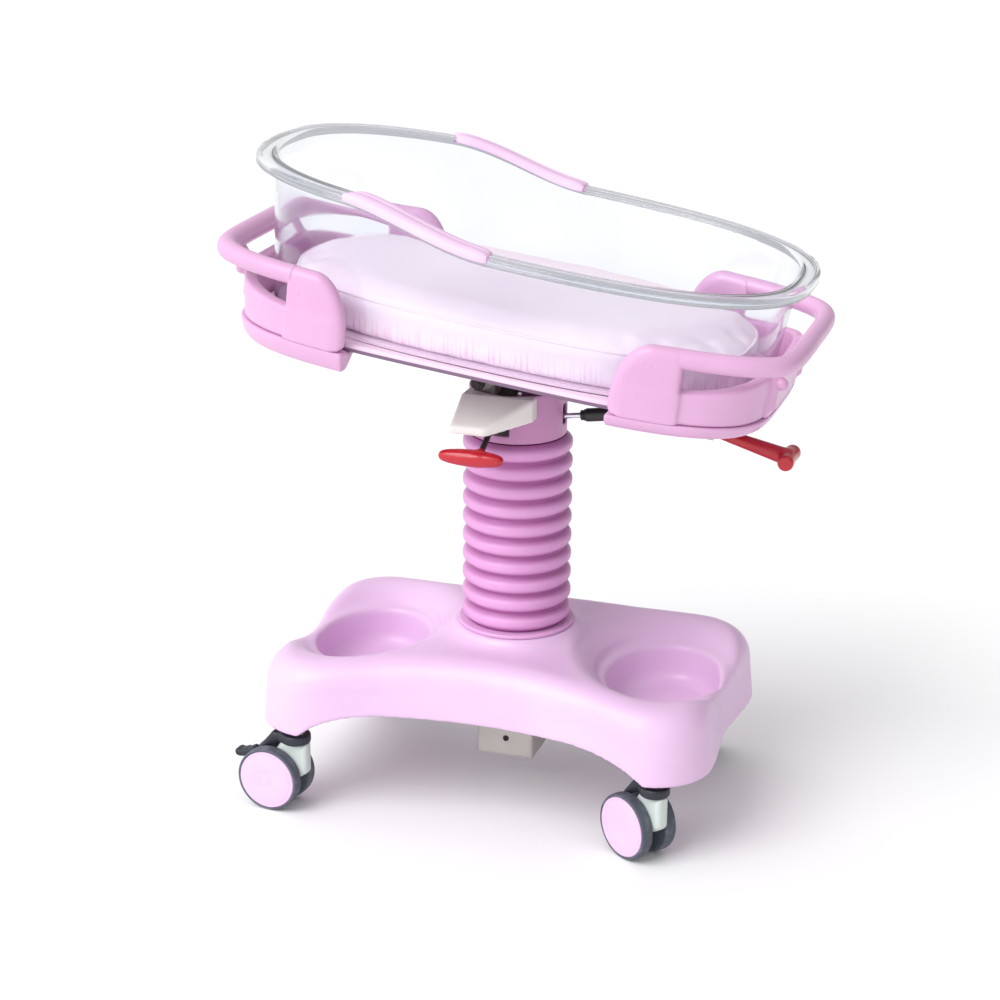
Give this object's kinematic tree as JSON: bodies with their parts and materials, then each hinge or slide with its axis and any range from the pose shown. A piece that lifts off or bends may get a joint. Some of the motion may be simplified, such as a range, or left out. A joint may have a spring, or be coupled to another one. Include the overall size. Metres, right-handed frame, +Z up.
{
  "type": "hospital bassinet",
  "caption": "Wheeled hospital bassinet: clear tub with mattress on a tilting deck with push handles, on a height-adjustable bellows column and a moulded caster base with storage pockets.",
  "frame": {"origin": "on the floor, at the middle of the whole bassinet's length and width", "axes": "+Z up, +X towards the foot end, -Y towards the side with the height lever"},
  "size_m": [0.8552, 0.5032, 0.9798],
  "materials": {
    "pink_shell": "glossy moulded pink ABS shell",
    "pink_rubber": "soft satin pink rubber",
    "mattress_cover": "coated pale pink mattress cover",
    "clear_plastic": "clear polished acrylic",
    "red_plastic": "glossy red moulding",
    "beige_plastic": "satin grey-beige moulding",
    "painted_steel": "bright grey painted steel",
    "tray_board": "grey-mauve compact board",
    "dark_steel": "blackened steel",
    "chrome": "polished chrome",
    "black_paint": "satin black paint",
    "black_plastic": "black bearing plastic",
    "caster_grey": "dark grey nylon",
    "tyre_grey": "grey tread",
    "fork_white": "off-white nylon"
  },
  "bodies": {
    "base": {"base_cover": "pink_shell", "column_foot_box": "painted_steel", "frame_spine": "painted_steel", "frame_crossbar_head": "painted_steel", "frame_crossbar_foot": "painted_steel", "column_outer_tube": "painted_steel", "guide_bush": "black_plastic", "lift_spring_cylinder": "black_paint", "bellows_lower_ring": "pink_shell", "bellows": "pink_rubber"},
    "lift_head": {"column_inner_tube": "chrome", "lift_spring_rod": "chrome", "column_sleeve": "pink_shell", "head_bracket": "painted_steel", "tilt_hinge_pin": "dark_steel", "lever_cover": "beige_plastic", "tilt_spring_lug": "painted_steel", "height_lever_pin": "dark_steel"},
    "height_lever": {"height_lever": "dark_steel", "height_lever_grip": "red_plastic"},
    "deck": {"deck_hinge_bracket": "painted_steel", "tilt_release_bracket": "painted_steel", "deck_tray": "tray_board", "head_housing": "pink_shell", "foot_housing": "pink_shell", "head_chin": "pink_shell", "foot_chin": "pink_shell", "head_handle": "pink_shell", "foot_handle": "pink_shell"},
    "tilt_spring_rod": {"tilt_spring_rod": "chrome"},
    "tilt_spring_cylinder": {"tilt_spring_cylinder": "black_paint"},
    "tilt_lever": {"tilt_lever": "dark_steel", "tilt_lever_grip": "red_plastic"},
    "tub": {"tub": "clear_plastic", "rim_grip_near": "pink_rubber", "rim_grip_far": "pink_rubber"},
    "mattress": {"mattress": "mattress_cover"},
    "head_near_swivel": {"head_near_caster_hood": "caster_grey", "head_near_caster_fork": "fork_white"},
    "head_near_wheels": {"head_near_caster_hub": "pink_shell", "head_near_caster_tyre_a": "tyre_grey", "head_near_caster_tyre_b": "tyre_grey"},
    "head_near_pedal": {"head_near_brake_pedal": "caster_grey"},
    "foot_near_swivel": {"foot_near_caster_hood": "caster_grey", "foot_near_caster_fork": "fork_white"},
    "foot_near_wheels": {"foot_near_caster_hub": "pink_shell", "foot_near_caster_tyre_a": "tyre_grey", "foot_near_caster_tyre_b": "tyre_grey"},
    "head_far_swivel": {"head_far_caster_hood": "caster_grey", "head_far_caster_fork": "fork_white"},
    "head_far_wheels": {"head_far_caster_hub": "pink_shell", "head_far_caster_tyre_a": "tyre_grey", "head_far_caster_tyre_b": "tyre_grey"},
    "foot_far_swivel": {"foot_far_caster_hood": "caster_grey", "foot_far_caster_fork": "fork_white"},
    "foot_far_wheels": {"foot_far_caster_hub": "pink_shell", "foot_far_caster_tyre_a": "tyre_grey", "foot_far_caster_tyre_b": "tyre_grey"},
    "foot_far_pedal": {"foot_far_brake_pedal": "caster_grey"}
  },
  "joints": [
    {"name": "height_lift", "type": "slide", "parent": "base", "child": "lift_head", "axis": [0, 0, 1], "range_m": [-0.1, 0.1], "deforming": ["bellows"]},
    {"name": "deck_tilt", "type": "hinge", "parent": "lift_head", "child": "deck", "pos_m": [-0.05131, 0, 0.65488], "axis": [0, 1, 0], "range_deg": [-19, 5]},
    {"name": "height_lever_pull", "type": "hinge", "parent": "lift_head", "child": "height_lever", "pos_m": [-0.02531, -0.088, 0.59688], "axis": [-1, 0, 0], "range_deg": [0, 6], "stiffness_Nm_per_rad": 6, "springref_deg": -5.73},
    {"name": "tilt_lever_pull", "type": "hinge", "parent": "deck", "child": "tilt_lever", "pos_m": [0.26833, 0, 0.59952], "axis": [0, -1, 0], "range_deg": [0, 8], "stiffness_Nm_per_rad": 6, "springref_deg": -5.73},
    {"name": "tilt_spring_swing", "type": "hinge", "parent": "lift_head", "child": "tilt_spring_rod", "pos_m": [0.03669, 0, 0.59288], "axis": [0, 1, 0], "range_deg": [-26, 8]},
    {"name": "tilt_spring_stroke", "type": "slide", "parent": "tilt_spring_rod", "child": "tilt_spring_cylinder", "axis": [0.9898, 0, 0.1425], "range_m": [-0.01, 0.035]},
    {"name": "tub_lift_out", "type": "slide", "parent": "deck", "child": "tub", "axis": [0.1219, 0, 0.9925], "range_m": [0, 0.25]},
    {"name": "mattress_lift_out", "type": "slide", "parent": "tub", "child": "mattress", "axis": [0.1219, 0, 0.9925], "range_m": [0, 0.3]},
    {"name": "head_near_caster_swivel", "type": "hinge", "parent": "base", "child": "head_near_swivel", "pos_m": [-0.29581, -0.191, 0.12], "axis": [0, 0, 1], "continuous": true},
    {"name": "head_near_wheel_spin", "type": "hinge", "parent": "head_near_swivel", "child": "head_near_wheels", "pos_m": [-0.33062, -0.18734, 0.04938], "axis": [-0.1045, -0.9945, 0], "continuous": true},
    {"name": "head_near_brake", "type": "hinge", "parent": "head_near_swivel", "child": "head_near_pedal", "pos_m": [-0.36045, -0.18421, 0.08138], "axis": [-0.1045, -0.9945, 0], "range_deg": [0, 10]},
    {"name": "foot_near_caster_swivel", "type": "hinge", "parent": "base", "child": "foot_near_swivel", "pos_m": [0.25619, -0.191, 0.12], "axis": [0, 0, 1], "continuous": true},
    {"name": "foot_near_wheel_spin", "type": "hinge", "parent": "foot_near_swivel", "child": "foot_near_wheels", "pos_m": [0.22752, -0.17092, 0.04938], "axis": [-0.5736, -0.8192, 0], "continuous": true},
    {"name": "head_far_caster_swivel", "type": "hinge", "parent": "base", "child": "head_far_swivel", "pos_m": [-0.29581, 0.191, 0.12], "axis": [0, 0, 1], "continuous": true},
    {"name": "head_far_wheel_spin", "type": "hinge", "parent": "head_far_swivel", "child": "head_far_wheels", "pos_m": [-0.33047, 0.19587, 0.04938], "axis": [-0.1392, -0.9903, 0], "continuous": true},
    {"name": "foot_far_caster_swivel", "type": "hinge", "parent": "base", "child": "foot_far_swivel", "pos_m": [0.25619, 0.191, 0.12], "axis": [0, 0, 1], "continuous": true},
    {"name": "foot_far_wheel_spin", "type": "hinge", "parent": "foot_far_swivel", "child": "foot_far_wheels", "pos_m": [0.22138, 0.18734, 0.04938], "axis": [0.1045, -0.9945, 0], "continuous": true},
    {"name": "foot_far_brake", "type": "hinge", "parent": "foot_far_swivel", "child": "foot_far_pedal", "pos_m": [0.19155, 0.18421, 0.08138], "axis": [0.1045, -0.9945, 0], "range_deg": [0, 10]}
  ],
  "couplings": [
    {"joint": "tilt_spring_swing", "follows": "deck_tilt", "ratio": 1.31},
    {"joint": "tilt_spring_stroke", "follows": "deck_tilt", "m_per_rad": -0.083}
  ]
}
